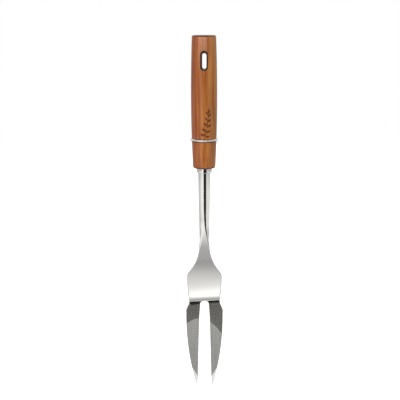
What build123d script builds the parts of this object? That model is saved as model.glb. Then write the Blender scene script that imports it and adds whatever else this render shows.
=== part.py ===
from build123d import *
import os
from math import cos, radians, sin, sqrt, tan

# A two-tine barbecue fork: a turned wood grip in two sections, a steel shaft and a cranked head.
# Millimetres. The origin is the centre of the hang slot through the grip. The fork hangs from it:
# +Z runs up the axis to the butt end, the tines point down, and the front face looks along -Y.

# Overall
TOTAL_LENGTH = 340.0
BUTT_Z = 22.5
TIP_Z = BUTT_Z - TOTAL_LENGTH

# Grip: one barrel arc from end to end, cut in two by the trim ring
GRIP_LENGTH = 121.1
GRIP_FRONT_Z = BUTT_Z - GRIP_LENGTH
BELLY_RADIUS = 12.0
BELLY_Z = -31.0
BARREL_ARC_RADIUS = 1450.0
BUTT_EDGE_RADIUS = 1.6
FRONT_EDGE_RADIUS = 2.0
JOINT_EDGE_RADIUS = 0.5

# Trim ring: a rounded disc clamped between the two grip sections
RING_Z = -72.2
RING_THICKNESS = 2.0
RING_RADIUS = 12.55
RING_RIM_RADIUS = 0.9

# Hang slot and the liner that is pressed through it
SLOT_HEIGHT = 14.9
SLOT_WIDTH = 3.9
LINER_WALL = 1.6
LINER_PROUD = 0.15

# Tang: an M6 threaded rod and the threaded insert that holds it in the main section
ROD_DIAMETER = 6.0
ROD_TOP_Z = -44.0
ROD_BOTTOM_Z = -112.0
ROD_CHAMFER = 0.6
BORE_CLEARANCE = 0.25
BORE_TOP_Z = -41.0
INSERT_DIAMETER = 10.0
INSERT_LENGTH = 15.0
INSERT_SLOT_WIDTH = 1.5
INSERT_SLOT_DEPTH = 2.0

# Front collar: a turned flange with a spigot up into the wood and one down into the shaft
COLLAR_THICKNESS = 4.2
COLLAR_DIAMETER = 14.2
COLLAR_EDGE_RADIUS = 0.4
COLLAR_SPIGOT_DIAMETER = 11.0
COLLAR_SPIGOT_LENGTH = 6.0
COLLAR_PLUG_LENGTH = 8.0

# Shaft: a tapered tube from the collar to the neck
SHAFT_TOP_Z = GRIP_FRONT_Z - COLLAR_THICKNESS
SHAFT_TOP_RADIUS = 5.7
SHAFT_MIDDLE_Z = -135.0
SHAFT_MIDDLE_RADIUS = 5.26
NECK_Z = -146.0
NECK_RADIUS = 5.06
SHAFT_WALL = 1.2
SHAFT_SOCKET_LENGTH = 12.0

# Fork head, side view: a flattened neck, a long arc backwards, a tight bend, then tines that lean
# a little forward and turn back where their faces are ground. Angles are the slope away from upright.
CRANK_START_ANGLE = 5.0
CRANK_START_Y = -3.2
CRANK_START_Z = -184.0
CRANK_RADIUS = 100.0
CRANK_ANGLE = 30.0
BACK_START_ANGLE = 11.0
BEND_RADIUS = 8.5
TINE_LEAN = 2.5
GROUND_FACE_Z = -247.6
GROUND_FACE_SLOPE = 1.0
PLATE_THICKNESS = 2.6
TIP_THICKNESS = 0.7
GROUND_TIP_LENGTH = 15.0
HEAD_SPIGOT_LENGTH = 10.0
CUTTING_DEPTH = 60.0

# Fork head, front view: the corners of one side's outline, and the radii that round those between
SIDE_CORNERS = [
    (NECK_RADIUS, NECK_Z),
    (4.62, -168.5),
    (6.2, -186.0),
    (16.75, -201.1),
    (16.1, -218.5),
    (15.0, -229.0),
    (15.0, -232.6),
    (17.75, -239.1),
    (17.7, -243.0),
]
SIDE_RADII = [20.0, 38.0, 9.0, 60.0, 20.0, 2.0, 2.0]
TINE_SIDE_MIDDLE = (16.2, -272.8)
TIP_HALF_WIDTH = 7.5
TIP_WIDTH = 0.7

# Where the cone that rounds the neck has grown past the plate's corners
ROUND_NECK_END = (9.0, -186.0)
ROUND_NECK_FLARE_Z = -212.0

# Slot between the tines: a round top, then two nearly straight edges that spread to the tips
GAP_TOP_Z = -230.4
GAP_RADIUS = 4.2
GAP_KNEE_HALF_WIDTH = 5.1
GAP_KNEE_Z = -250.0


def barrel_radius(z):
    """Outer radius of the grip at the height z."""
    drop = BARREL_ARC_RADIUS - sqrt(BARREL_ARC_RADIUS**2 - (z - BELLY_Z) ** 2)
    return BELLY_RADIUS - drop


def barrel(bottom, top, offset=0.0):
    """The grip's barrel between two heights, grown by offset."""
    middle = (bottom + top) / 2
    side = ThreePointArc(
        (barrel_radius(bottom) + offset, bottom),
        (barrel_radius(middle) + offset, middle),
        (barrel_radius(top) + offset, top),
    )
    edges = [
        Line((0, top), (0, bottom)),
        Line((0, bottom), side @ 0),
        side,
        Line(side @ 1, (0, top)),
    ]
    return revolve(Plane.XZ * make_face(edges), Axis.Z)


def rod(radius, bottom, top):
    """A solid cylinder on the fork's axis between two heights."""
    return Pos(0, 0, bottom) * extrude(Circle(radius), top - bottom)


def stadium(width, height, depth):
    """A slot-shaped bar through the grip along Y, centred on the origin."""
    outline = Rot(0, 0, 90) * SlotOverall(height, width)
    return extrude(Plane.XZ * outline, depth / 2, both=True)


def outer_rim(part, z):
    """The outermost circular edge of a turned part at the height z."""
    level = part.edges().filter_by(GeomType.CIRCLE).filter_by_position(Axis.Z, z - 0.01, z + 0.01)
    return level.sort_by(SortBy.RADIUS)[-1]


def make_grip_main():
    """Main wood section: barrel, hang slot, pocket for the insert and blind bore for the rod."""
    bottom = RING_Z + RING_THICKNESS / 2
    body = barrel(bottom, BUTT_Z)
    body = fillet(outer_rim(body, BUTT_Z), BUTT_EDGE_RADIUS)
    body = fillet(outer_rim(body, bottom), JOINT_EDGE_RADIUS)
    body -= stadium(SLOT_WIDTH + 2 * LINER_WALL, SLOT_HEIGHT + 2 * LINER_WALL, 4 * BELLY_RADIUS)
    body -= rod(ROD_DIAMETER / 2 + BORE_CLEARANCE, bottom, BORE_TOP_Z)
    body -= rod(INSERT_DIAMETER / 2, bottom, bottom + INSERT_LENGTH)
    return body


def make_grip_front():
    """Short wood section between the trim ring and the collar."""
    top = RING_Z - RING_THICKNESS / 2
    body = barrel(GRIP_FRONT_Z, top)
    body = fillet(outer_rim(body, top), 2 * JOINT_EDGE_RADIUS)
    body = fillet(outer_rim(body, GRIP_FRONT_Z), FRONT_EDGE_RADIUS)
    body -= rod(ROD_DIAMETER / 2 + BORE_CLEARANCE, GRIP_FRONT_Z, top)
    body -= rod(COLLAR_SPIGOT_DIAMETER / 2, GRIP_FRONT_Z, GRIP_FRONT_Z + COLLAR_SPIGOT_LENGTH)
    return body


def make_trim_ring():
    """Steel disc with a rounded rim that stands proud of the wood."""
    bottom = RING_Z - RING_THICKNESS / 2
    top = RING_Z + RING_THICKNESS / 2
    disc = rod(RING_RADIUS, bottom, top)
    disc = fillet([outer_rim(disc, bottom), outer_rim(disc, top)], RING_RIM_RADIUS)
    return disc - rod(ROD_DIAMETER / 2 + BORE_CLEARANCE, bottom, top)


def make_hang_slot_liner():
    """Slot-shaped sleeve whose two ends follow the barrel."""
    sleeve = stadium(SLOT_WIDTH + 2 * LINER_WALL, SLOT_HEIGHT + 2 * LINER_WALL, 4 * BELLY_RADIUS)
    sleeve -= stadium(SLOT_WIDTH, SLOT_HEIGHT, 4 * BELLY_RADIUS)
    return sleeve & barrel(-SLOT_HEIGHT, SLOT_HEIGHT, LINER_PROUD)


def make_tang_rod():
    """Threaded rod that ties the collar to the insert."""
    body = rod(ROD_DIAMETER / 2, ROD_BOTTOM_Z, ROD_TOP_Z)
    return chamfer(body.edges().filter_by(GeomType.CIRCLE), ROD_CHAMFER)


def make_insert_nut():
    """Threaded insert, with a driving slot across its lower face."""
    bottom = RING_Z + RING_THICKNESS / 2
    body = rod(INSERT_DIAMETER / 2, bottom, bottom + INSERT_LENGTH)
    body -= rod(ROD_DIAMETER / 2, bottom, bottom + INSERT_LENGTH)
    driver = Box(INSERT_DIAMETER, INSERT_SLOT_WIDTH, 2 * INSERT_SLOT_DEPTH)
    return body - Pos(0, 0, bottom) * driver


def make_front_collar():
    """Turned collar: the flange that shows, and a spigot on each side of it."""
    flange = rod(COLLAR_DIAMETER / 2, SHAFT_TOP_Z, GRIP_FRONT_Z)
    flange = fillet(outer_rim(flange, SHAFT_TOP_Z), COLLAR_EDGE_RADIUS)
    plug_radius = SHAFT_TOP_RADIUS - SHAFT_WALL
    body = flange + rod(COLLAR_SPIGOT_DIAMETER / 2, GRIP_FRONT_Z, GRIP_FRONT_Z + COLLAR_SPIGOT_LENGTH)
    body += rod(plug_radius, SHAFT_TOP_Z - COLLAR_PLUG_LENGTH, SHAFT_TOP_Z)
    bottom = SHAFT_TOP_Z - COLLAR_PLUG_LENGTH
    return body - rod(ROD_DIAMETER / 2, bottom, GRIP_FRONT_Z + COLLAR_SPIGOT_LENGTH)


def make_shaft_tube():
    """Tapered tube: a slightly bellied outside, and a bore with a straight socket at each end."""
    side = ThreePointArc(
        (SHAFT_TOP_RADIUS, SHAFT_TOP_Z),
        (SHAFT_MIDDLE_RADIUS, SHAFT_MIDDLE_Z),
        (NECK_RADIUS, NECK_Z),
    )
    outside = [
        Line((0, SHAFT_TOP_Z), side @ 0),
        side,
        Line(side @ 1, (0, NECK_Z)),
        Line((0, NECK_Z), (0, SHAFT_TOP_Z)),
    ]
    body = revolve(Plane.XZ * make_face(outside), Axis.Z)
    wide = SHAFT_TOP_RADIUS - SHAFT_WALL
    narrow = NECK_RADIUS - SHAFT_WALL
    bore = Polyline(
        (0, SHAFT_TOP_Z),
        (wide, SHAFT_TOP_Z),
        (wide, SHAFT_TOP_Z - SHAFT_SOCKET_LENGTH),
        (narrow, NECK_Z + SHAFT_SOCKET_LENGTH),
        (narrow, NECK_Z),
        (0, NECK_Z),
        close=True,
    )
    return body - revolve(Plane.XZ * make_face(bore), Axis.Z)


def crank(start_y, start_z, start_angle, long_radius, tight_radius):
    """The long arc backwards and the tight bend to the leaning tines, in the YZ plane."""
    start_tangent = (sin(radians(start_angle)), -cos(radians(start_angle)))
    long_arc = JernArc((start_y, start_z), start_tangent, long_radius, CRANK_ANGLE - start_angle)
    tight_arc = JernArc(long_arc @ 1, long_arc % 1, tight_radius, -CRANK_ANGLE - TINE_LEAN)
    return [long_arc, tight_arc]


def make_side_profile():
    """The head seen from the side, as a thick slab across X."""
    centre_y = CRANK_START_Y + CRANK_RADIUS * cos(radians(CRANK_START_ANGLE))
    centre_z = CRANK_START_Z + CRANK_RADIUS * sin(radians(CRANK_START_ANGLE))
    back_radius = CRANK_RADIUS - PLATE_THICKNESS
    back_y = centre_y - back_radius * cos(radians(BACK_START_ANGLE))
    back_z = centre_z - back_radius * sin(radians(BACK_START_ANGLE))
    front = crank(CRANK_START_Y, CRANK_START_Z, CRANK_START_ANGLE, CRANK_RADIUS, BEND_RADIUS)
    back = crank(back_y, back_z, BACK_START_ANGLE, back_radius, BEND_RADIUS + PLATE_THICKNESS)
    front_neck = Spline(
        (-NECK_RADIUS, NECK_Z), front[0] @ 0, tangents=[(0, -1), front[0] % 0]
    )
    back_neck = Spline(
        (NECK_RADIUS, NECK_Z), back[0] @ 0, tangents=[(0, -1), back[0] % 0]
    )
    front_end = front[-1] @ 1
    back_end = back[-1] @ 1
    turn_y = front_end.X - (front_end.Y - GROUND_FACE_Z) * tan(radians(TINE_LEAN))
    slope = tan(radians(GROUND_FACE_SLOPE))
    tip_start_z = TIP_Z + GROUND_TIP_LENGTH
    tip_back_y = turn_y + (GROUND_FACE_Z - TIP_Z) * slope + PLATE_THICKNESS
    tines = Polyline(
        front_end,
        (turn_y, GROUND_FACE_Z),
        (turn_y + (GROUND_FACE_Z - tip_start_z) * slope, tip_start_z),
        (tip_back_y - TIP_THICKNESS, TIP_Z),
        (tip_back_y, TIP_Z),
        (turn_y + PLATE_THICKNESS, GROUND_FACE_Z),
        back_end,
    )
    top = Line(front_neck @ 0, back_neck @ 0)
    profile = make_face([front_neck, *front, tines, *back, back_neck, top])
    return extrude(Plane.YZ * profile, CUTTING_DEPTH, both=True)


def make_front_outline():
    """The head seen from the front, both tines, as a deep slab along Y."""
    shoulders = FilletPolyline(*SIDE_CORNERS, radius=SIDE_RADII)
    tine_side = ThreePointArc(SIDE_CORNERS[-1], TINE_SIDE_MIDDLE, (TIP_HALF_WIDTH, TIP_Z))
    gap_centre_z = GAP_TOP_Z - GAP_RADIUS
    quarter = radians(45)
    gap_top = ThreePointArc(
        (0, GAP_TOP_Z),
        (GAP_RADIUS * sin(quarter), gap_centre_z + GAP_RADIUS * cos(quarter)),
        (GAP_RADIUS, gap_centre_z),
    )
    gap_side = Polyline(
        (GAP_RADIUS, gap_centre_z),
        (GAP_KNEE_HALF_WIDTH, GAP_KNEE_Z),
        (TIP_HALF_WIDTH - TIP_WIDTH, TIP_Z),
        (TIP_HALF_WIDTH, TIP_Z),
    )
    middle = Polyline((0, GAP_TOP_Z), (0, NECK_Z), SIDE_CORNERS[0])
    half = make_face([shoulders, tine_side, gap_side, gap_top, middle])
    solid = extrude(Plane.XZ * half, CUTTING_DEPTH, both=True)
    return solid + mirror(solid, Plane.YZ)


def make_fork_head():
    """One-piece head: front outline crossed with side profile, its neck rounded to meet the tube."""
    body = make_front_outline() & make_side_profile()
    round_side = Spline(
        (NECK_RADIUS, NECK_Z),
        ROUND_NECK_END,
        tangents=[(0, -1), (0.5, -1)],
    )
    envelope = Polyline(
        round_side @ 1,
        (CUTTING_DEPTH, ROUND_NECK_FLARE_Z),
        (CUTTING_DEPTH, TIP_Z),
        (0, TIP_Z),
        (0, NECK_Z),
        (NECK_RADIUS, NECK_Z),
    )
    body &= revolve(Plane.XZ * make_face([round_side, envelope]), Axis.Z)
    return body + rod(NECK_RADIUS - SHAFT_WALL, NECK_Z - SHAFT_WALL, NECK_Z + HEAD_SPIGOT_LENGTH)


PIECES = {
    "grip_main": make_grip_main,
    "grip_front": make_grip_front,
    "trim_ring": make_trim_ring,
    "hang_slot_liner": make_hang_slot_liner,
    "tang_rod": make_tang_rod,
    "insert_nut": make_insert_nut,
    "front_collar": make_front_collar,
    "shaft_tube": make_shaft_tube,
    "fork_head": make_fork_head,
}

os.makedirs("parts", exist_ok=True)
for name, make in PIECES.items():
    export_step(make(), f"parts/{name}.step")
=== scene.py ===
"""A two-tine barbecue fork, hanging upright by the slot in its wood grip.

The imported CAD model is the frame. Every visible piece is rebuilt here as a fine mesh with its own
procedural material. Lengths are in millimetres until a mesh is made, and metres from there on.
"""

from math import atan2, ceil, cos, degrees, hypot, pi, radians, sin, sqrt, tan

import bmesh
import bpy
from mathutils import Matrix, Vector


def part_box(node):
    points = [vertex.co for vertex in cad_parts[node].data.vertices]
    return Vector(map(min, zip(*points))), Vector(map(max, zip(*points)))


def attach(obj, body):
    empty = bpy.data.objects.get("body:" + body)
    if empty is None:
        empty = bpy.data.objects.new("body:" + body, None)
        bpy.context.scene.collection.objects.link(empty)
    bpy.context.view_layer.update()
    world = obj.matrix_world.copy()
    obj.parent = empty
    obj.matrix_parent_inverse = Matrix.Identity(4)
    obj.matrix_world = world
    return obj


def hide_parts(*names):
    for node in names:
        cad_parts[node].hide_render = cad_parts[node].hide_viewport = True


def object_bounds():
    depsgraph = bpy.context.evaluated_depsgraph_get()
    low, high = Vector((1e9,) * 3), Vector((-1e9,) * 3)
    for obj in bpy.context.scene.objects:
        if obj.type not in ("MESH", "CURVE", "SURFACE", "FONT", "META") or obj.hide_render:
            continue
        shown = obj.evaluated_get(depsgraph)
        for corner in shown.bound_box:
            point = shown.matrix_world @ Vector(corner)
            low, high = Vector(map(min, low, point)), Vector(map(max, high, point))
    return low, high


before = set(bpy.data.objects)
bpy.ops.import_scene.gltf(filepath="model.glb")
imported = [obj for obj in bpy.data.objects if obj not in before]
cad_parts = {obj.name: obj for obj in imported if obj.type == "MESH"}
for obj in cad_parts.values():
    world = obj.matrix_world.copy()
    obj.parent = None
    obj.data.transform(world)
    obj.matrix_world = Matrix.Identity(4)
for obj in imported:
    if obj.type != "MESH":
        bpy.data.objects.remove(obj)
CAD_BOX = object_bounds()
MM = 0.001


def node_span(node):
    """The lowest and highest z of a CAD node, in millimetres."""
    low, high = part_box(node)
    return low.z / MM, high.z / MM


# Heights and radii read from the frame
GRIP_MAIN_Z, BUTT_Z = node_span("grip_main")
GRIP_FRONT_Z, GRIP_FRONT_TOP_Z = node_span("grip_front")
SHAFT_END_Z, SHAFT_TOP_Z = node_span("shaft_tube")
TIP_Z = CAD_BOX[0].z / MM
NECK_Z = SHAFT_END_Z
RING_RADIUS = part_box("trim_ring")[1].x / MM
COLLAR_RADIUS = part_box("front_collar")[1].x / MM
SHAFT_TOP_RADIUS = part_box("shaft_tube")[1].x / MM

# Grip
BELLY_RADIUS = 12.0
BELLY_Z = -31.0
BARREL_ARC_RADIUS = 1450.0
BUTT_EDGE_RADIUS = 1.6
FRONT_EDGE_RADIUS = 1.6
MAIN_JOINT_RADIUS = 0.5
FRONT_JOINT_RADIUS = 1.0
RING_RIM_RADIUS = 0.9
TURNED_SEGMENTS = 160
# Stands in for 0 where a turned profile would meet its axis
AXIS_RADIUS = 0.02
BORE_RADIUS = 3.25
BORE_TOP_Z = -41.0
INSERT_RADIUS = 5.0
INSERT_LENGTH = 15.0
COLLAR_SPIGOT_RADIUS = 5.5
COLLAR_SPIGOT_LENGTH = 6.0
COLLAR_TOP_RADIUS = 0.25
COLLAR_EDGE_RADIUS = 0.4
ROD_RADIUS = 3.0
PLUG_LENGTH = 8.0
PLUG_EDGE_RADIUS = 0.3

# Hang slot: the opening's size, and how far it is off the sleeve's middle as (x, z)
SLOT_WIDTH = 3.9
SLOT_HEIGHT = 14.9
SLOT_SHIFT = (0.3, -0.7)
LINER_WALL = 1.6
LINER_OVERLAP = 0.05
# The sleeve's lip: distance out from the opening, and height above the barrel
LINER_LIP = [
    (0.0, -0.6),
    (0.1, -0.2),
    (0.35, 0.05),
    (0.8, 0.15),
    (1.25, 0.05),
    (1.5, -0.2),
    (LINER_WALL, -0.6),
]

# Leaf sprig on the grip: start and end of each strip as (x, z), and its width
SPRIG = [
    ((0.6, -69.3), (2.6, -60.0), 0.9),
    ((2.3, -61.5), (3.6, -51.5), 0.9),
    ((3.4, -53.0), (4.0, -46.0), 0.8),
    ((3.8, -47.6), (4.6, -42.9), 2.0),
    ((3.7, -48.6), (1.3, -45.4), 1.5),
    ((3.7, -50.2), (6.4, -47.4), 1.6),
    ((3.2, -53.6), (0.5, -50.6), 1.7),
    ((3.3, -54.8), (6.3, -52.3), 1.7),
    ((2.7, -58.4), (-0.6, -55.6), 1.9),
    ((2.8, -59.6), (6.1, -57.4), 1.9),
    ((1.9, -63.4), (-2.2, -60.9), 2.1),
    ((2.0, -64.4), (5.7, -62.9), 2.0),
    ((1.1, -67.4), (-3.7, -65.9), 2.1),
    ((1.3, -68.2), (4.9, -68.4), 1.9),
]
LEAF_STEPS = 14
LEAF_HEIGHTS = (0.04, -0.25)
LEAF_SHARES = (-1.0, -0.5, 0.0, 0.5, 1.0)

# Shaft
SHAFT_MIDDLE_Z = -135.0
SHAFT_MIDDLE_RADIUS = 5.26
NECK_RADIUS = 5.06
SHAFT_WALL = 1.2

# Head, side view: places are (y, z), and angles are the front face's lean away from upright, in degrees
NECK_SLOPE = 1.0
CRANK_START = (-3.2, -184.0)
CRANK_START_ANGLE = 5.0
CRANK_ANGLE = 29.75
CRANK_RADIUS = 100.0
BEND_RADIUS = 10.0
TINE_LEAN = 2.5
GROUND_FACE_Z = -247.6
GROUND_FACE_SLOPE = 1.0
HOLLOW_RADIUS = 240.0
HOLLOW_MIDDLE_X = -4.8
ARCH_DROP = 1 / (2 * HOLLOW_RADIUS * (tan(radians(TINE_LEAN)) + tan(radians(GROUND_FACE_SLOPE))))
GROUND_FACE_MARGIN = 2.0
GROUND_FACE_BLEND = 0.03
BEND_Z = -228.0
BEND_REACH = 22.0
BEND_SLANT = -0.06
PLATE_THICKNESS = 2.6
FLAT_START_Z = -150.0
FLAT_NECK_Z = -180.0
SATIN_START_Z = -232.9
SATIN_SLANT = -0.085

# Ground tip: its upper edge starts at (x, z) beside the slot and rises towards the outer edge
TIP_GROUND_INNER = (6.54, -307.0)
TIP_GROUND_RISE = 1.79
TIP_GROUND_SLOPE = 8.9

# Head, front view: the corners of the right-hand outline, each with its rounding radius
OUTLINE = [
    (NECK_RADIUS, NECK_Z, 0.0),
    (4.62, -168.5, 20.0),
    (6.2, -186.0, 38.0),
    (16.75, -201.1, 9.0),
    (16.1, -218.5, 60.0),
    (15.0, -229.0, 20.0),
    (15.0, -232.6, 2.0),
    (17.75, -239.1, 2.0),
    (17.7, -243.0, 0.0),
]
TINE_SIDE_MIDDLE = (16.2, -272.8)
TIP_HALF_WIDTH = 7.5
TIP_WIDTH = 0.7
GAP_TOP_Z = -230.4
GAP_RADIUS = 4.2
GAP_KNEE = (5.1, -250.0)
# Edge rounding: the plate's down to PLATE_END_Z, the tines' from TINE_START_Z, and a blend between them
PLATE_ROUNDING = 0.8
TINE_ROUNDING = 0.4
PLATE_END_Z = -230.0
TINE_START_Z = -233.0

# Head mesh: bands of rows as (high, low, spacing) above and below the slot's round top
ROWS_ABOVE_GAP = [
    (NECK_Z, FLAT_NECK_Z, 0.7),
    (FLAT_NECK_Z, BEND_Z, 0.6),
    (BEND_Z, GAP_TOP_Z + 1.0, 0.3),
]
ROWS_NEAR_GAP = (1.0, 0.6, 0.35, 0.2, 0.1, 0.0)
ROWS_ROUND_GAP = 24
ROWS_BELOW_GAP = [
    (GAP_TOP_Z - GAP_RADIUS, -272.0, 0.35),
    (-272.0, -294.0, 0.8),
    (-294.0, TIP_Z, 0.4),
]
COLUMNS = 26
EDGE_STEPS = (0.0, 0.12, 0.32, 0.62, 1.0)
WALL_STEPS = 8

# Wood: what the ends keep of each colour, darker end grain together with painted shade on their rounded
# edges
END_GRAIN_AND_EDGE_SHADE = (0.30, 0.24, 0.22)

# Floor
FLOOR_Z = -900.0
FLOOR_SIZE = 12000.0

# Camera: level distance in front of the fork, rise above its middle, and the point it looks at
CAMERA_DISTANCE = 886.0
CAMERA_RISE = 193.0
CAMERA_AIM = (-3.97, 18.5)
CAMERA_LENS = 87.25
CAMERA_ROLL = -0.16

# Studio that the steel reflects. Angles are in degrees, around the fork from the camera (right is +)
# or above the level, and tones are at half strength. A pair is where a soft edge starts and ends.
STUDIO_STRENGTH = 2.0
LEVEL_CARDS = [
    (-180, 0.20),
    (-140, 0.38),
    (-103, 0.36),
    (-76, 0.47),
    (-54, 0.61),
    (-20, 0.60),
    (20, 0.56),
    (44, 0.45),
    (65, 0.49),
    (89, 0.51),
    (120, 0.47),
    (150, 0.42),
    (180, 0.20),
]
ABOVE_CARDS = [
    (-180, 0.12),
    (-93, 0.14),
    (-60, 0.30),
    (-52, 1.0),
    (24, 1.0),
    (28, 0.20),
    (70, 0.16),
    (180, 0.12),
]
ABOVE_BOOST = 2.5
ABOVE_EDGE = (-1.0, 2.5)
# Cards overhead, which take over from those above
CEILING_CARDS = [
    (-180, 0.45),
    (-155, 0.58),
    (-125, 0.55),
    (-105, 0.33),
    (-60, 0.27),
    (0, 0.20),
    (60, 0.27),
    (105, 0.33),
    (125, 0.55),
    (155, 0.58),
    (180, 0.45),
]
CEILING_EDGE = (8.0, 13.0)
BELOW_FLOOR = [
    (-90.0, 0.74),
    (-71.0, 0.72),
    (-66.0, 0.63),
    (-62.0, 0.54),
    (-58.0, 0.49),
    (-50.0, 0.42),
    (-42.5, 0.35),
    (-37.0, 0.28),
    (-32.0, 0.235),
    (-28.0, 0.225),
    (-24.0, 0.25),
    (-20.0, 0.28),
]
# The floor away to both sides
BELOW_SIDES = 0.25
BELOW_SIDES_EDGE = (22.0, 40.0)
# Two bright cards, low on either side of the camera, that light the ground tips
TIP_CARD_TONE = 0.52
TIP_CARD_INNER_EDGE = (14.0, 20.0)
TIP_CARD_OUTER_EDGE = (62.0, 54.0)
TIP_CARD_TOP_EDGE = (-32.0, -36.0)
TIP_CARD_LOW_EDGE = (-54.0, -50.0)
# The black card: its lower left corner as (around, above), its right side, and how many degrees to the
# right its sides move for each degree below the corner
BLACK_CARD_TONE = (0.012, 0.012, 0.011)
BLACK_CARD_CORNER = (-13.0, -14.1)
BLACK_CARD_LEFT_SLANT = 16.5
BLACK_CARD_RIGHT = 38.0
BLACK_CARD_RIGHT_SLANT = 1.0
BLACK_CARD_EDGE = (-1.5, 1.5)
# A grey band on both sides, just below the level
SIDE_BAND_TONE = 0.29
SIDE_BAND_INNER_EDGE = (30.0, 45.0)
SIDE_BAND_LOW_EDGE = (-11.5, -9.5)
# The table's far edge: its height all round, and how soft it is in front and at the sides
HORIZON = [
    (-180, -14.1),
    (-75, -14.1),
    (-35, -15.0),
    (-10, -18.6),
    (10, -18.6),
    (35, -15.6),
    (75, -15.2),
    (180, -14.6),
]
HORIZON_SCALE = -30.0
HORIZON_FRONT_SOFTNESS = 2.2
HORIZON_SIDE_SOFTNESS = 0.8
HORIZON_SIDE_EDGE = (10.0, 30.0)

# Soft room that lights the wood: angle around, tone above the level, tone below it
ROOM = [
    (-180, 0.42, 0.16),
    (-120, 0.14, 0.08),
    (-85, 0.16, 0.08),
    (-45, 0.62, 0.24),
    (10, 0.62, 0.24),
    (80, 0.14, 0.08),
    (130, 0.14, 0.08),
    (180, 0.42, 0.16),
]
ROOM_EDGE = (-35.0, 10.0)


# ---------------------------------------------------------------- mesh helpers


def add_mesh(name, points, faces, smooth_angle=30.0):
    """A mesh object from points in millimetres, smooth where its faces turn by less than the angle."""
    mesh = bpy.data.meshes.new(name)
    mesh.from_pydata([Vector(p) * MM for p in points], [], faces)
    mesh.validate()
    shell = bmesh.new()
    shell.from_mesh(mesh)
    bmesh.ops.recalc_face_normals(shell, faces=shell.faces)
    shell.to_mesh(mesh)
    shell.free()
    mesh.shade_smooth()
    mesh.set_sharp_from_angle(angle=radians(smooth_angle))
    piece = bpy.data.objects.new(name, mesh)
    bpy.context.scene.collection.objects.link(piece)
    return piece


def place(piece, node):
    """The piece rides on the fork and stands for its CAD node, which is hidden."""
    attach(piece, "root")
    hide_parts(node)


def rounded(corners, step=8.0):
    """Points along a path of (a, b, radius) corners, with each corner turned into an arc."""
    path = [corners[0][:2]]
    for before, corner, after in zip(corners, corners[1:], corners[2:]):
        here = Vector(corner[:2])
        back = (Vector(before[:2]) - here).normalized()
        ahead = (Vector(after[:2]) - here).normalized()
        opening = back.angle(ahead)
        radius = corner[2]
        if radius == 0.0:
            path.append(tuple(here))
            continue
        reach = radius / tan(opening / 2)
        centre = here + (back + ahead).normalized() * radius / sin(opening / 2)
        start = here + back * reach - centre
        finish = here + ahead * reach - centre
        turn = start.angle_signed(finish)
        count = max(3, ceil(abs(degrees(turn)) / step))
        for index in range(count + 1):
            angle = -turn * index / count
            path.append(
                (
                    centre.x + start.x * cos(angle) - start.y * sin(angle),
                    centre.y + start.x * sin(angle) + start.y * cos(angle),
                )
            )
    path.append(corners[-1][:2])
    return path


def turned(name, profile):
    """A lathe-turned solid from a closed loop of (radius, z) points off the axis."""
    points = []
    faces = []
    count = len(profile)
    for segment in range(TURNED_SEGMENTS):
        angle = 2 * pi * segment / TURNED_SEGMENTS
        for radius, z in profile:
            points.append((radius * cos(angle), radius * sin(angle), z))
    for segment in range(TURNED_SEGMENTS):
        here = segment * count
        ahead = (segment + 1) % TURNED_SEGMENTS * count
        for index in range(count):
            after = (index + 1) % count
            faces.append((here + index, ahead + index, ahead + after, here + after))
    return add_mesh(name, points, faces)


def subtract(piece, cutter):
    """Cuts one mesh out of another and removes the cutter."""
    modifier = piece.modifiers.new("cut", "BOOLEAN")
    modifier.operation = "DIFFERENCE"
    modifier.solver = "EXACT"
    modifier.object = cutter
    graph = bpy.context.evaluated_depsgraph_get()
    mesh = bpy.data.meshes.new_from_object(piece.evaluated_get(graph))
    piece.modifiers.clear()
    piece.data = mesh
    mesh.shade_smooth()
    mesh.set_sharp_from_angle(angle=radians(30.0))
    bpy.data.objects.remove(cutter)


# ---------------------------------------------------------------- node helpers


class Shader:
    """A small wrapper that adds and links nodes in one node tree."""

    def __init__(self, tree):
        self.tree = tree
        tree.nodes.clear()

    def node(self, kind, inputs=None, **settings):
        made = self.tree.nodes.new(kind)
        for key, value in settings.items():
            setattr(made, key, value)
        for key, value in (inputs or {}).items():
            if isinstance(value, bpy.types.NodeSocket):
                self.tree.links.new(value, made.inputs[key])
            else:
                made.inputs[key].default_value = value
        return made

    def math(self, operation, a, b=0.0):
        return self.node("ShaderNodeMath", {0: a, 1: b}, operation=operation).outputs[0]

    def line(self, value, slope, offset, clamp=False):
        """slope * value + offset, kept between 0 and 1 if clamped."""
        inputs = {0: value, 1: slope, 2: offset}
        return self.node("ShaderNodeMath", inputs, operation="MULTIPLY_ADD", use_clamp=clamp).outputs[0]

    def step(self, value, edge):
        """0 before the edge's start, 1 past its end and a straight rise between them."""
        start, end = edge
        inputs = {"Value": value, "From Min": start, "From Max": end}
        return self.node("ShaderNodeMapRange", inputs).outputs[0]

    def ramp(self, factor, stops):
        made = self.node("ShaderNodeValToRGB", {"Fac": factor})
        elements = made.color_ramp.elements
        while len(elements) < len(stops):
            elements.new(0.5)
        for element, (position, colour) in zip(elements, stops):
            element.position = position
            element.color = (*colour, 1.0) if isinstance(colour, tuple) else (colour, colour, colour, 1.0)
        return made.outputs["Color"]

    def mix(self, factor, a, b, blend="MIX"):
        made = self.node("ShaderNodeMix", data_type="RGBA", blend_type=blend)
        for socket, value in zip((made.inputs[0], made.inputs[6], made.inputs[7]), (factor, a, b)):
            if isinstance(value, bpy.types.NodeSocket):
                self.tree.links.new(value, socket)
            elif isinstance(value, tuple):
                socket.default_value = (*value, 1.0)
            elif socket.type == "RGBA":
                socket.default_value = (value, value, value, 1.0)
            else:
                socket.default_value = value
        return made.outputs[2]


def new_material(name):
    """A material with an empty node tree, and the shader wrapper for it."""
    material = bpy.data.materials.new(name)
    material.use_nodes = True
    return material, Shader(material.node_tree)


def finish_material(shader, inputs):
    """Adds the Principled shader and the output."""
    principled = shader.node("ShaderNodeBsdfPrincipled", inputs)
    shader.node("ShaderNodeOutputMaterial", {"Surface": principled.outputs[0]})


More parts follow.
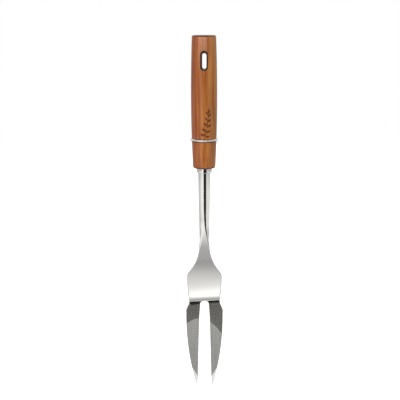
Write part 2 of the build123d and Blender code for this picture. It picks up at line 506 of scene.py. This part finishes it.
# ---------------------------------------------------------------- materials


def polished_steel():
    """Mirror-polished stainless steel with faint wipe marks."""
    material, shader = new_material("polished_steel")
    position = shader.node("ShaderNodeTexCoord").outputs["Object"]
    smudges = shader.node("ShaderNodeTexNoise", {"Vector": position, "Scale": 90.0, "Detail": 5.0})
    roughness = shader.node(
        "ShaderNodeMapRange",
        {"Value": smudges.outputs[0], "To Min": 0.05, "To Max": 0.10},
    )
    tone = shader.ramp(smudges.outputs[0], [(0.3, (0.70, 0.69, 0.67)), (0.7, (0.76, 0.75, 0.73))])
    finish_material(shader, {"Base Color": tone, "Metallic": 1.0, "Roughness": roughness.outputs[0]})
    return material


def wood(name, seed):
    """Red-brown hardwood: streaks along the grain, redder to the left, fine pores and a clear lacquer."""
    material, shader = new_material(name)
    position = shader.node("ShaderNodeTexCoord").outputs["Object"]
    offset = shader.node("ShaderNodeVectorMath", {0: position, 1: (seed, seed / 2, seed)}, operation="ADD")
    stretched = shader.node("ShaderNodeMapping", {"Vector": offset.outputs[0], "Scale": (1.0, 1.0, 0.05)})
    long_grain = shader.node("ShaderNodeMapping", {"Vector": offset.outputs[0], "Scale": (1.0, 1.0, 0.015)})

    def noise(mapping, scale, detail, distortion=0.0):
        return shader.node(
            "ShaderNodeTexNoise",
            {
                "Vector": mapping.outputs[0],
                "Scale": scale,
                "Detail": detail,
                "Roughness": 0.6,
                "Distortion": distortion,
            },
        ).outputs[0]

    streaks = noise(stretched, 420.0, 4.0, 0.3)
    broad = noise(stretched, 120.0, 2.0)
    pores = noise(long_grain, 2600.0, 2.0)
    base = shader.ramp(
        streaks,
        [
            (0.30, (0.330, 0.085, 0.016)),
            (0.44, (0.450, 0.140, 0.030)),
            (0.56, (0.540, 0.185, 0.043)),
            (0.70, (0.640, 0.245, 0.065)),
        ],
    )
    across = shader.node("ShaderNodeSeparateXYZ", {"Vector": position}).outputs["X"]
    side = shader.step(across, (-0.009, 0.009))
    hue = shader.ramp(side, [(0.0, (1.0, 0.86, 0.95)), (1.0, (1.0, 1.12, 0.92))])
    tint = shader.ramp(broad, [(0.38, (0.82, 0.70, 0.60)), (0.62, (1.08, 1.08, 1.05))])
    coloured = shader.mix(0.8, shader.mix(1.0, base, hue, "MULTIPLY"), tint, "MULTIPLY")
    specks = shader.ramp(pores, [(0.32, (0.55, 0.44, 0.38)), (0.42, (1.0, 1.0, 1.0))])
    grained = shader.mix(0.5, coloured, specks, "MULTIPLY")
    normal = shader.node("ShaderNodeNewGeometry").outputs["Normal"]
    upright = shader.node("ShaderNodeSeparateXYZ", {"Vector": normal}).outputs["Z"]
    # Faces turned up or down are darkened: end grain colour, and painted shade on the rounded edges
    end_grain_and_edge_shade = shader.step(shader.math("ABSOLUTE", upright), (0.08, 0.45))
    finished = shader.mix(end_grain_and_edge_shade, grained, shader.mix(1.0, grained, END_GRAIN_AND_EDGE_SHADE, "MULTIPLY"))
    bump = shader.node("ShaderNodeBump", {"Height": pores, "Strength": 0.05, "Distance": 0.0002})
    finish_material(
        shader,
        {
            "Base Color": finished,
            "Roughness": 0.45,
            "Specular IOR Level": 0.05,
            "Normal": bump.outputs[0],
            "Coat Weight": 0.7,
            "Coat Roughness": 0.12,
            "Coat IOR": 1.5,
        },
    )
    return material


def burnt_wood():
    """Scorched wood, uneven along the grain, under the grip's lacquer."""
    material, shader = new_material("burnt_wood")
    position = shader.node("ShaderNodeTexCoord").outputs["Object"]
    stretched = shader.node("ShaderNodeMapping", {"Vector": position, "Scale": (1.0, 1.0, 0.2)}).outputs[0]
    scorch = shader.node("ShaderNodeTexNoise", {"Vector": stretched, "Scale": 900.0, "Detail": 4.0})
    tone = shader.ramp(scorch.outputs[0], [(0.35, (0.13, 0.042, 0.017)), (0.65, (0.22, 0.075, 0.031))])
    finish_material(shader, {"Base Color": tone, "Roughness": 0.6, "Specular IOR Level": 0.1})
    return material


def pale_floor():
    """Matt white studio floor with a faint paper mottle."""
    material, shader = new_material("pale_floor")
    position = shader.node("ShaderNodeTexCoord").outputs["Object"]
    mottle = shader.node("ShaderNodeTexNoise", {"Vector": position, "Scale": 3.0})
    tone = shader.ramp(mottle.outputs[0], [(0.3, (0.93, 0.93, 0.93)), (0.7, (0.96, 0.96, 0.96))])
    finish_material(
        shader,
        {
            "Base Color": tone,
            "Roughness": 0.9,
            "Emission Color": (1.0, 1.0, 1.0, 1.0),
            "Emission Strength": 1.0,
        },
    )
    return material


def dark_liner():
    """Very dark brown satin plastic with a faint moulded mottle."""
    material, shader = new_material("liner_dark_brown")
    position = shader.node("ShaderNodeTexCoord").outputs["Object"]
    mottle = shader.node("ShaderNodeTexNoise", {"Vector": position, "Scale": 900.0, "Detail": 3.0})
    tone = shader.ramp(mottle.outputs[0], [(0.3, (0.022, 0.011, 0.007)), (0.7, (0.040, 0.021, 0.014))])
    bump = shader.node("ShaderNodeBump", {"Height": mottle.outputs[0], "Strength": 0.2, "Distance": 0.0001})
    finish_material(
        shader,
        {
            "Base Color": tone,
            "Roughness": 0.38,
            "Specular IOR Level": 0.2,
            "Normal": bump.outputs[0],
        },
    )
    return material


def plain_metal(name, dark, light):
    """Turned or plated metal with a light mottle, for the parts inside the grip."""
    material, shader = new_material(name)
    position = shader.node("ShaderNodeTexCoord").outputs["Object"]
    mottle = shader.node("ShaderNodeTexNoise", {"Vector": position, "Scale": 500.0, "Detail": 3.0})
    tone = shader.ramp(mottle.outputs[0], [(0.35, dark), (0.65, light)])
    finish_material(shader, {"Base Color": tone, "Metallic": 1.0, "Roughness": 0.32})
    return material


def head_steel():
    """Stainless steel: polished neck and bend, satin tines brushed lengthwise with a painted dark
    reflection on their pressed part, bright ground tips.
    """
    material, shader = new_material("head_steel")
    position = shader.node("ShaderNodeTexCoord").outputs["Object"]
    x, _, z = shader.node("ShaderNodeSeparateXYZ", {"Vector": position}).outputs
    satin_edge = ((SATIN_START_Z + 0.5) * MM, (SATIN_START_Z - 0.5) * MM)
    satin = shader.step(shader.line(x, SATIN_SLANT, z), satin_edge)
    tip_x, tip_z = TIP_GROUND_INNER
    tip_offset = (tip_z - TIP_GROUND_RISE * tip_x) * MM
    tip_line = shader.line(shader.math("ABSOLUTE", x), TIP_GROUND_RISE, tip_offset)
    tip = shader.step(shader.math("SUBTRACT", tip_line, z), (-0.0002, 0.0004))
    lines = shader.node("ShaderNodeMapping", {"Vector": position, "Scale": (1.0, 1.0, 0.02)})
    brushing = shader.node(
        "ShaderNodeTexNoise",
        {"Vector": lines.outputs[0], "Scale": 2200.0, "Detail": 3.0, "Roughness": 0.6},
    ).outputs[0]
    polished = shader.ramp(brushing, [(0.3, (0.715, 0.705, 0.685)), (0.7, (0.745, 0.735, 0.715))])
    # The pressed part of the satin tines, above the hollow-ground arch, is toned far darker than steel: a
    # painted dark reflection
    pressed = shader.ramp(brushing, [(0.35, (0.29, 0.285, 0.27)), (0.65, (0.35, 0.345, 0.325))])
    hollow = shader.ramp(brushing, [(0.35, (0.475, 0.47, 0.445)), (0.65, (0.55, 0.545, 0.52))])
    ground = shader.ramp(brushing, [(0.35, (0.78, 0.78, 0.77)), (0.65, (0.88, 0.88, 0.87))])
    off_middle = shader.math("SUBTRACT", x, HOLLOW_MIDDLE_X * MM)
    arch = shader.line(shader.math("MULTIPLY", off_middle, off_middle), -ARCH_DROP / MM, GROUND_FACE_Z * MM)
    below_arch = shader.step(shader.math("SUBTRACT", arch, z), (-0.0003, 0.0003))
    brushed = shader.mix(below_arch, pressed, hollow)
    tone = shader.mix(tip, shader.mix(satin, polished, brushed), ground)
    roughness = shader.mix(satin, 0.07, 0.25)
    bump = shader.node(
        "ShaderNodeBump",
        {"Height": brushing, "Strength": shader.math("MULTIPLY", satin, 0.04), "Distance": 0.00005},
    )
    tangent = shader.node("ShaderNodeTangent", direction_type="RADIAL", axis="Z")
    finish_material(
        shader,
        {
            "Base Color": tone,
            "Metallic": 1.0,
            "Roughness": roughness,
            "Anisotropic": 0.7,
            "Tangent": tangent.outputs[0],
            "Normal": bump.outputs[0],
        },
    )
    return material


# ---------------------------------------------------------------- the grip


def barrel_radius(z):
    """Outer radius of the grip at the height z."""
    return BELLY_RADIUS - BARREL_ARC_RADIUS + sqrt(BARREL_ARC_RADIUS**2 - (z - BELLY_Z) ** 2)


def barrel_side(low, high, step=1.2):
    """Points (radius, z, no rounding) up the barrel, both ends left out."""
    count = ceil((high - low) / step)
    heights = [low + (high - low) * index / count for index in range(1, count)]
    return [(barrel_radius(z), z, 0.0) for z in heights]


def stadium(width, height, segments=24):
    """A slot outline of (x, z) points, with round ends above and below."""
    radius = width / 2
    straight = height / 2 - radius
    outline = []
    for end in (1, -1):
        for index in range(segments + 1):
            angle = pi * index / segments
            outline.append((end * radius * cos(angle), end * (straight + radius * sin(angle))))
    return outline


def make_slot_cutter():
    """The bar that cuts the slot for the liner through the wood."""
    margin = 2 * (LINER_WALL - LINER_OVERLAP)
    outline = stadium(SLOT_WIDTH + margin, SLOT_HEIGHT + margin)
    count = len(outline)
    points = [(x, y, z) for y in (-20.0, 20.0) for x, z in outline]
    sides = [(i, (i + 1) % count, count + (i + 1) % count, count + i) for i in range(count)]
    ends = [tuple(range(count - 1, -1, -1)), tuple(range(count, 2 * count))]
    return add_mesh("slot_cutter", points, sides + ends)


def make_grip_main(material):
    low = GRIP_MAIN_Z
    profile = rounded(
        [(AXIS_RADIUS, BUTT_Z, 0.0), (barrel_radius(BUTT_Z), BUTT_Z, BUTT_EDGE_RADIUS)]
        + barrel_side(low + 1.5, BUTT_Z - 2.5)[::-1]
        + [
            (barrel_radius(low), low, MAIN_JOINT_RADIUS),
            (INSERT_RADIUS, low, 0.0),
            (INSERT_RADIUS, low + INSERT_LENGTH, 0.0),
            (BORE_RADIUS, low + INSERT_LENGTH, 0.0),
            (BORE_RADIUS, BORE_TOP_Z, 0.0),
            (AXIS_RADIUS, BORE_TOP_Z, 0.0),
        ],
    )
    piece = turned("grip_main_wood", profile)
    subtract(piece, make_slot_cutter())
    piece.data.materials.clear()
    piece.data.materials.append(material)
    place(piece, "grip_main")


def make_grip_front(material):
    low, high = GRIP_FRONT_Z, GRIP_FRONT_TOP_Z
    profile = rounded(
        [
            (BORE_RADIUS, high, 0.0),
            (barrel_radius(high), high, FRONT_JOINT_RADIUS),
        ]
        + barrel_side(low + 3.0, high - 2.0)[::-1]
        + [
            (barrel_radius(low), low, FRONT_EDGE_RADIUS),
            (COLLAR_SPIGOT_RADIUS, low, 0.0),
            (COLLAR_SPIGOT_RADIUS, low + COLLAR_SPIGOT_LENGTH, 0.0),
            (BORE_RADIUS, low + COLLAR_SPIGOT_LENGTH, 0.0),
            (BORE_RADIUS, high - 0.5, 0.0),
        ],
    )
    piece = turned("grip_front_wood", profile)
    piece.data.materials.append(material)
    place(piece, "grip_front")


def make_trim_ring(material):
    low, high = node_span("trim_ring")
    profile = rounded(
        [
            (BORE_RADIUS, high, 0.0),
            (RING_RADIUS, high, RING_RIM_RADIUS),
            (RING_RADIUS, low, RING_RIM_RADIUS),
            (BORE_RADIUS, low, 0.0),
            (BORE_RADIUS, (low + high) / 2, 0.0),
        ],
    )
    piece = turned("trim_ring_steel", profile)
    piece.data.materials.append(material)
    place(piece, "trim_ring")


def make_liner(material):
    """A slot-shaped sleeve whose rounded lips follow the barrel, front and back."""
    rings = []
    for out, rise in LINER_LIP:
        outline = stadium(SLOT_WIDTH + 2 * out, SLOT_HEIGHT + 2 * out)
        share = 1 - out / LINER_WALL
        outline = [(x + SLOT_SHIFT[0] * share, z + SLOT_SHIFT[1] * share) for x, z in outline]
        ring = [(x, -sqrt(barrel_radius(z) ** 2 - x**2) - rise, z) for x, z in outline]
        rings.append(ring)
    rings += [[(x, -y, z) for x, y, z in ring] for ring in rings[::-1]]
    count = len(rings[0])
    total = len(rings)
    points = [point for ring in rings for point in ring]
    faces = []
    for ring in range(total):
        after = (ring + 1) % total
        for index in range(count):
            ahead = (index + 1) % count
            faces.append(
                (ring * count + index, after * count + index, after * count + ahead, ring * count + ahead)
            )
    piece = add_mesh("hang_slot_sleeve", points, faces, 50.0)
    piece.data.materials.append(material)
    place(piece, "hang_slot_liner")


def make_collar(material):
    high = GRIP_FRONT_Z
    low = SHAFT_TOP_Z
    profile = rounded(
        [
            (ROD_RADIUS, high + COLLAR_SPIGOT_LENGTH, 0.0),
            (COLLAR_SPIGOT_RADIUS, high + COLLAR_SPIGOT_LENGTH, PLUG_EDGE_RADIUS),
            (COLLAR_SPIGOT_RADIUS, high, 0.0),
            (COLLAR_RADIUS, high, COLLAR_TOP_RADIUS),
            (COLLAR_RADIUS, low, COLLAR_EDGE_RADIUS),
            (SHAFT_TOP_RADIUS - SHAFT_WALL, low, 0.0),
            (SHAFT_TOP_RADIUS - SHAFT_WALL, low - PLUG_LENGTH, PLUG_EDGE_RADIUS),
            (ROD_RADIUS, low - PLUG_LENGTH, 0.0),
            (ROD_RADIUS, low, 0.0),
        ],
    )
    piece = turned("front_collar_steel", profile)
    piece.data.materials.append(material)
    place(piece, "front_collar")


def leaf_strip(start, end, width, points, faces):
    """A thin pointed strip from start to end (x, z) that lies on the barrel, added to the mesh lists."""
    along = Vector(end) - Vector(start)
    across = Vector((-along.y, along.x)).normalized()
    first = len(points)
    for index in range(LEAF_STEPS + 1):
        run = 0.02 + 0.96 * index / LEAF_STEPS
        centre = Vector(start) + along * run
        half = width / 2 * sin(pi * run) ** 0.8
        for height in LEAF_HEIGHTS:
            for share in LEAF_SHARES:
                x, z = centre + across * half * share
                points.append((x, -sqrt(barrel_radius(z) ** 2 - x**2) - height, z))
    wide = len(LEAF_SHARES)
    size = 2 * wide
    ring = list(range(wide)) + list(range(size - 1, wide - 1, -1))
    for index in range(LEAF_STEPS):
        here = first + index * size
        for a, b in zip(ring, ring[1:] + ring[:1]):
            faces.append((here + a, here + b, here + b + size, here + a + size))
    for end_row in (first, first + LEAF_STEPS * size):
        faces.append(tuple(end_row + a for a in ring))


def make_leaf_sprig():
    """A small leaf sprig burnt into the grip."""
    points = []
    faces = []
    for start, end, width in SPRIG:
        leaf_strip(start, end, width, points, faces)
    piece = add_mesh("leaf_sprig_burnt", points, faces)
    piece.data.materials.append(burnt_wood())
    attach(piece, "root")


# ---------------------------------------------------------------- the shaft


def arc_through(a, b, c):
    """Centre and radius of the circle through three points."""
    mid_ab = ((a[0] + b[0]) / 2, (a[1] + b[1]) / 2)
    mid_bc = ((b[0] + c[0]) / 2, (b[1] + c[1]) / 2)
    ab = (b[0] - a[0], b[1] - a[1])
    bc = (c[0] - b[0], c[1] - b[1])
    right_ab = ab[0] * mid_ab[0] + ab[1] * mid_ab[1]
    right_bc = bc[0] * mid_bc[0] + bc[1] * mid_bc[1]
    scale = ab[0] * bc[1] - ab[1] * bc[0]
    x = (right_ab * bc[1] - right_bc * ab[1]) / scale
    y = (ab[0] * right_bc - bc[0] * right_ab) / scale
    return x, y, hypot(a[0] - x, a[1] - y)


def shaft_radius(z):
    """Outer radius of the shaft at the height z: one long arc."""
    x, y, radius = arc_through(
        (SHAFT_TOP_RADIUS, SHAFT_TOP_Z), (SHAFT_MIDDLE_RADIUS, SHAFT_MIDDLE_Z), (NECK_RADIUS, NECK_Z)
    )
    return x + sqrt(radius**2 - (z - y) ** 2)


def make_shaft(material):
    heights = [SHAFT_TOP_Z + (NECK_Z - SHAFT_TOP_Z) * index / 40 for index in range(41)]
    outside = [(shaft_radius(z), z) for z in heights]
    inside = [(radius - SHAFT_WALL, z) for radius, z in outside[::-1]]
    piece = turned("shaft_steel", outside + inside)
    piece.data.materials.append(material)
    place(piece, "shaft_tube")


# ---------------------------------------------------------------- the head


def crank_front(z):
    """Depth of the head's front face at the height z: neck, long arc, bend, then the leaning tines."""
    start_y, start_z = CRANK_START
    first = radians(CRANK_START_ANGLE)
    last = radians(CRANK_ANGLE)
    if z > start_z:
        length = NECK_Z - start_z
        run = (NECK_Z - z) / length
        blend = run * run * (3 - 2 * run)
        start_bulge = tan(radians(NECK_SLOPE)) * length * run * (1 - run) ** 2
        end_bulge = tan(first) * length * run * run * (run - 1)
        return -NECK_RADIUS + (start_y + NECK_RADIUS) * blend + start_bulge + end_bulge
    centre_y = start_y + CRANK_RADIUS * cos(first)
    centre_z = start_z + CRANK_RADIUS * sin(first)
    arc_end_z = centre_z - CRANK_RADIUS * sin(last)
    if z > arc_end_z:
        return centre_y - sqrt(CRANK_RADIUS**2 - (z - centre_z) ** 2)
    arc_end_y = centre_y - CRANK_RADIUS * cos(last)
    bend_y = arc_end_y - BEND_RADIUS * cos(last)
    bend_z = arc_end_z - BEND_RADIUS * sin(last)
    lean = radians(TINE_LEAN)
    bend_end_z = bend_z - BEND_RADIUS * sin(lean)
    if z > bend_end_z:
        return bend_y + sqrt(BEND_RADIUS**2 - (z - bend_z) ** 2)
    return bend_y + BEND_RADIUS * cos(lean) - (bend_end_z - z) * tan(lean)


GROUND_FACE_Y = crank_front(GROUND_FACE_Z)


def face_front(x, z):
    """Depth of the front face at (x, z): pressed plate above, hollow-ground below an arched edge."""
    window = max(0.0, 1.0 - abs(z - BEND_Z) / BEND_REACH)
    pressed = crank_front(z + BEND_SLANT * x * window)
    if z > GROUND_FACE_Z + GROUND_FACE_MARGIN:
        return pressed
    hollow = (x - HOLLOW_MIDDLE_X) ** 2 / (2 * HOLLOW_RADIUS)
    ground = GROUND_FACE_Y + (GROUND_FACE_Z - z) * tan(radians(GROUND_FACE_SLOPE)) - hollow
    return (pressed + ground + hypot(pressed - ground, GROUND_FACE_BLEND)) / 2


def tip_cut(x, z):
    """How much the ground tip takes off the front face."""
    edge = TIP_GROUND_INNER[1] + TIP_GROUND_RISE * (abs(x) - TIP_GROUND_INNER[0])
    return max(0.0, edge - z) * tan(radians(TIP_GROUND_SLOPE))


def front_slope(z):
    """Slope of the front face away from upright, in radians."""
    return atan2(crank_front(z - 0.05) - crank_front(z + 0.05), 0.1)


def thickness(z):
    """Thickness of the head along Y: round neck to flat plate."""
    plate = PLATE_THICKNESS / cos(front_slope(z))
    if z < FLAT_NECK_Z:
        return plate
    run = (NECK_Z - z) / (NECK_Z - FLAT_NECK_Z)
    return plate + (2 * NECK_RADIUS - plate) * (1 - run) ** 2 * (1 + 2 * run)


def edge_rounding(z):
    """The blanked edges are well rounded on the plate, and crisper on the ground tines."""
    run = min(1.0, max(0.0, (z - TINE_START_Z) / (PLATE_END_Z - TINE_START_Z)))
    wide = TINE_ROUNDING + (PLATE_ROUNDING - TINE_ROUNDING) * run
    return min(wide, 0.4 * thickness(z))


def corner(z, outer, depth):
    """Width and depth of the rounding at the head's sides: all of the neck's section, then a small edge."""
    run = min(1.0, max(0.0, (FLAT_START_Z - z) / (FLAT_START_Z - FLAT_NECK_Z)))
    rounding = edge_rounding(z)
    across = outer - (outer - rounding) * run * run * (3 - 2 * run)
    along = (0.98 * depth / 2 - rounding) * (1 - run**2) + rounding
    return across, along


SHOULDERS = rounded(OUTLINE, 4.0)
TINE_SIDE = arc_through(OUTLINE[-1][:2], TINE_SIDE_MIDDLE, (TIP_HALF_WIDTH, TIP_Z))


def half_width(z):
    """Half the head's width at the height z."""
    if z < OUTLINE[-1][1]:
        return TINE_SIDE[0] + sqrt(TINE_SIDE[2] ** 2 - (z - TINE_SIDE[1]) ** 2)
    for (x_high, z_high), (x_low, z_low) in zip(SHOULDERS, SHOULDERS[1:]):
        if z_low <= z <= z_high:
            return x_low + (x_high - x_low) * (z - z_low) / (z_high - z_low)
    return NECK_RADIUS


def gap_half_width(z):
    """Half the width of the slot between the tines, or 0 above it."""
    centre = GAP_TOP_Z - GAP_RADIUS
    if z >= GAP_TOP_Z:
        return 0.0
    if z > centre:
        return sqrt(GAP_RADIUS**2 - (z - centre) ** 2)
    if z > GAP_KNEE[1]:
        return GAP_RADIUS + (GAP_KNEE[0] - GAP_RADIUS) * (centre - z) / (centre - GAP_KNEE[1])
    run = (GAP_KNEE[1] - z) / (GAP_KNEE[1] - TIP_Z)
    return GAP_KNEE[0] + (TIP_HALF_WIDTH - TIP_WIDTH - GAP_KNEE[0]) * run


def edge_drop(distance, across, along):
    """How far a face has curved back at a distance from a rounded edge."""
    if distance >= across:
        return 0.0
    gone = 1 - max(distance, 0.0) / across
    return along * (1 - sqrt(1 - gone**2))


def head_rows():
    """Heights of the head's mesh rows, closer together where its outline or profile turns."""
    rows = []
    for high, low, spacing in ROWS_ABOVE_GAP:
        count = ceil((high - low) / spacing)
        rows += [high - (high - low) * index / count for index in range(count)]
    rows += [GAP_TOP_Z + rise for rise in ROWS_NEAR_GAP]
    for index in range(1, ROWS_ROUND_GAP + 1):
        rows.append(GAP_TOP_Z - GAP_RADIUS + GAP_RADIUS * cos(pi / 2 * index / ROWS_ROUND_GAP))
    for high, low, spacing in ROWS_BELOW_GAP:
        count = ceil((high - low) / spacing)
        rows += [high - (high - low) * index / count for index in range(1, count + 1)]
    return rows


def column_places(inner, outer, rounding):
    """Places across one half of the head, packed at the outer edge and at the slot's edge."""
    width = outer - inner
    scale = min(rounding, width / 3)
    near = [inner + step * scale for step in EDGE_STEPS]
    far = [outer - step * scale for step in EDGE_STEPS[::-1]]
    middle = [near[-1] + (far[0] - near[-1]) * index / COLUMNS for index in range(1, COLUMNS)]
    return near + middle + far


def make_head(material):
    """Both halves of the head as one closed mesh of rows from the neck to the tips."""
    points = []
    lookup = {}

    def add(point):
        key = tuple(round(value, 5) for value in point)
        if key not in lookup:
            lookup[key] = len(points)
            points.append(point)
        return lookup[key]

    def section(z, side):
        """Front points from the middle outwards, then the outer wall, then back points."""
        outer = half_width(z)
        inner = gap_half_width(z)
        depth = thickness(z)
        centre_z = GAP_TOP_Z - GAP_RADIUS
        across, along = corner(z, outer, depth)
        row = {"front": [], "back": [], "wall": []}
        rounding = edge_rounding(z)
        for x in column_places(inner, outer, rounding):
            if z > centre_z:
                gap_distance = hypot(x, z - centre_z) - GAP_RADIUS
            else:
                gap_distance = x - inner
            drop = max(edge_drop(outer - x, across, along), edge_drop(gap_distance, rounding, rounding))
            middle = face_front(side * x, z) + depth / 2
            row["front"].append((side * x, middle - depth / 2 + drop + tip_cut(x, z), z))
            row["back"].append((side * x, middle + depth / 2 - drop, z))
        middle = face_front(side * outer, z) + depth / 2
        cut = tip_cut(outer, z)
        for index in range(1, WALL_STEPS):
            height = -1.0 + 2.0 * index / WALL_STEPS
            bulge = (depth / 2 - along) * height
            row["wall"].append((side * outer, middle + bulge + cut * (1 - height) / 2, z))
        return row

    faces = []
    for side in (1.0, -1.0):
        previous = None
        for z in head_rows():
            row = section(z, side)
            front = [add(p) for p in row["front"]]
            back = [add(p) for p in row["back"]]
            wall = [add(p) for p in row["wall"]]
            loop = front + wall + back[::-1]
            open_gap = gap_half_width(z) > 0.0
            if previous is not None:
                pairs = list(zip(loop, loop[1:]))
                before = list(zip(previous, previous[1:]))
                for (a, b), (c, d) in zip(before, pairs):
                    faces.append((a, b, d, c))
                if open_gap:
                    faces.append((previous[-1], previous[0], loop[0], loop[-1]))
            previous = loop
        faces.append(tuple(previous))
    piece = add_mesh("fork_head_steel", points, [tuple(dict.fromkeys(f)) for f in faces], 35.0)
    piece.data.materials.append(material)
    place(piece, "fork_head")


# ---------------------------------------------------------------- the studio


def make_world():
    """White paper to the camera, a softly lit room to the wood, and a studio of cards to the steel."""
    world = bpy.data.worlds.new("studio")
    bpy.context.scene.world = world
    world.use_nodes = True
    world.cycles.sampling_method = "NONE"
    shader = Shader(world.node_tree)
    direction = shader.node("ShaderNodeTexCoord").outputs["Generated"]
    x, y, z = shader.node("ShaderNodeSeparateXYZ", {"Vector": direction}).outputs
    azimuth = shader.math("DEGREES", shader.math("ARCTAN2", x, shader.math("MULTIPLY", y, -1.0)))
    elevation = shader.math("DEGREES", shader.math("ARCSINE", z))
    around = shader.math("ADD", shader.math("DIVIDE", azimuth, 360.0), 0.5)
    up = shader.math("ADD", shader.math("DIVIDE", elevation, 180.0), 0.5)

    def by_azimuth(stops):
        return shader.ramp(around, [(angle / 360 + 0.5, value) for angle, value in stops])

    def by_elevation(stops):
        return shader.ramp(up, [(angle / 180 + 0.5, value) for angle, value in stops])

    # Cards level with the fork, brighter ones above them, and the floor below
    level = by_azimuth(LEVEL_CARDS)
    above = shader.mix(1.0, by_azimuth(ABOVE_CARDS), ABOVE_BOOST, "MULTIPLY")
    above = shader.mix(shader.step(elevation, CEILING_EDGE), above, by_azimuth(CEILING_CARDS))
    off_axis = shader.math("ABSOLUTE", azimuth)
    below = shader.mix(shader.step(off_axis, BELOW_SIDES_EDGE), by_elevation(BELOW_FLOOR), BELOW_SIDES)
    # The two low cards beside the camera
    wide = shader.math(
        "MULTIPLY", shader.step(off_axis, TIP_CARD_INNER_EDGE), shader.step(off_axis, TIP_CARD_OUTER_EDGE)
    )
    tall = shader.math(
        "MULTIPLY", shader.step(elevation, TIP_CARD_TOP_EDGE), shader.step(elevation, TIP_CARD_LOW_EDGE)
    )
    below = shader.mix(shader.math("MULTIPLY", wide, tall), below, TIP_CARD_TONE)
    # The black card, whose lower edge slants down to the right
    corner_around, corner_height = BLACK_CARD_CORNER
    drop = shader.math("MAXIMUM", shader.math("SUBTRACT", corner_height, elevation), 0.0)
    left = shader.line(drop, BLACK_CARD_LEFT_SLANT, corner_around)
    right = shader.line(drop, BLACK_CARD_RIGHT_SLANT, BLACK_CARD_RIGHT)
    inside_left = shader.step(shader.math("SUBTRACT", azimuth, left), BLACK_CARD_EDGE)
    inside_right = shader.step(shader.math("SUBTRACT", right, azimuth), BLACK_CARD_EDGE)
    level = shader.mix(shader.math("MULTIPLY", inside_left, inside_right), level, BLACK_CARD_TONE)
    # The side bands
    band = shader.math(
        "MULTIPLY", shader.step(off_axis, SIDE_BAND_INNER_EDGE), shader.step(elevation, SIDE_BAND_LOW_EDGE)
    )
    level = shader.mix(band, level, SIDE_BAND_TONE)
    # The table's far edge, between the floor and the cards
    horizon = by_azimuth([(angle, height / HORIZON_SCALE) for angle, height in HORIZON])
    above_edge = shader.math("SUBTRACT", elevation, shader.math("MULTIPLY", horizon, HORIZON_SCALE))
    front = 0.5 / HORIZON_FRONT_SOFTNESS
    side = 0.5 / HORIZON_SIDE_SOFTNESS
    sharpness = shader.line(shader.step(off_axis, HORIZON_SIDE_EDGE), side - front, front)
    over_table = shader.line(above_edge, sharpness, 0.5, clamp=True)
    lower = shader.mix(over_table, below, level)
    studio = shader.mix(shader.step(elevation, ABOVE_EDGE), lower, above)

    room_high = by_azimuth([(angle, high) for angle, high, low in ROOM])
    room_low = by_azimuth([(angle, low) for angle, high, low in ROOM])
    room = shader.mix(shader.step(elevation, ROOM_EDGE), room_low, room_high)
    glossy = shader.node("ShaderNodeBackground", {"Color": studio, "Strength": STUDIO_STRENGTH})
    soft = shader.node("ShaderNodeBackground", {"Color": room, "Strength": STUDIO_STRENGTH})
    paper = shader.node("ShaderNodeBackground", {"Color": (1.0, 1.0, 1.0, 1.0), "Strength": 1.0})
    rays = shader.node("ShaderNodeLightPath")
    lit = shader.node(
        "ShaderNodeMixShader",
        {0: rays.outputs["Is Glossy Ray"], 1: soft.outputs[0], 2: glossy.outputs[0]},
    )
    both = shader.node(
        "ShaderNodeMixShader",
        {0: rays.outputs["Is Camera Ray"], 1: lit.outputs[0], 2: paper.outputs[0]},
    )
    shader.node("ShaderNodeOutputWorld", {"Surface": both.outputs[0]})


def make_camera():
    middle_z = (CAD_BOX[0].z + CAD_BOX[1].z) / 2
    data = bpy.data.cameras.new("camera")
    data.lens = CAMERA_LENS
    data.sensor_width = 36.0
    camera = bpy.data.objects.new("camera", data)
    bpy.context.scene.collection.objects.link(camera)
    camera.location = (0.0, -CAMERA_DISTANCE * MM, middle_z + CAMERA_RISE * MM)
    aim = Vector((CAMERA_AIM[0] * MM, 0.0, middle_z + CAMERA_AIM[1] * MM))
    camera.rotation_euler = (aim - camera.location).to_track_quat("-Z", "Y").to_euler()
    camera.rotation_euler.rotate_axis("Z", radians(CAMERA_ROLL))
    bpy.context.scene.camera = camera


def make_floor():
    """A wide pale floor well below the hanging fork."""
    count = 24
    spread = FLOOR_SIZE / count
    points = [
        ((column - count / 2) * spread, (row - count / 2) * spread, FLOOR_Z)
        for row in range(count + 1)
        for column in range(count + 1)
    ]
    faces = []
    for row in range(count):
        for column in range(count):
            corner = row * (count + 1) + column
            faces.append((corner, corner + 1, corner + count + 2, corner + count + 1))
    floor = add_mesh("studio_floor", points, faces)
    floor.data.materials.append(pale_floor())
    floor.visible_glossy = False
    floor.visible_diffuse = False


scene = bpy.context.scene
scene.view_settings.view_transform = "Standard"
scene.cycles.use_denoising = True

make_camera()
make_world()
make_floor()
steel = polished_steel()
make_grip_main(wood("grip_wood_main", 0.31))
make_grip_front(wood("grip_wood_front", 0.77))
make_trim_ring(steel)
make_leaf_sprig()
make_liner(dark_liner())
make_collar(steel)
make_shaft(steel)
make_head(head_steel())
zinc = plain_metal("zinc_plate", (0.42, 0.43, 0.44), (0.55, 0.56, 0.57))
brass = plain_metal("insert_brass", (0.55, 0.38, 0.14), (0.70, 0.50, 0.20))
for node, material in (("tang_rod", zinc), ("insert_nut", brass)):
    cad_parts[node].data.materials.clear()
    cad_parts[node].data.materials.append(material)
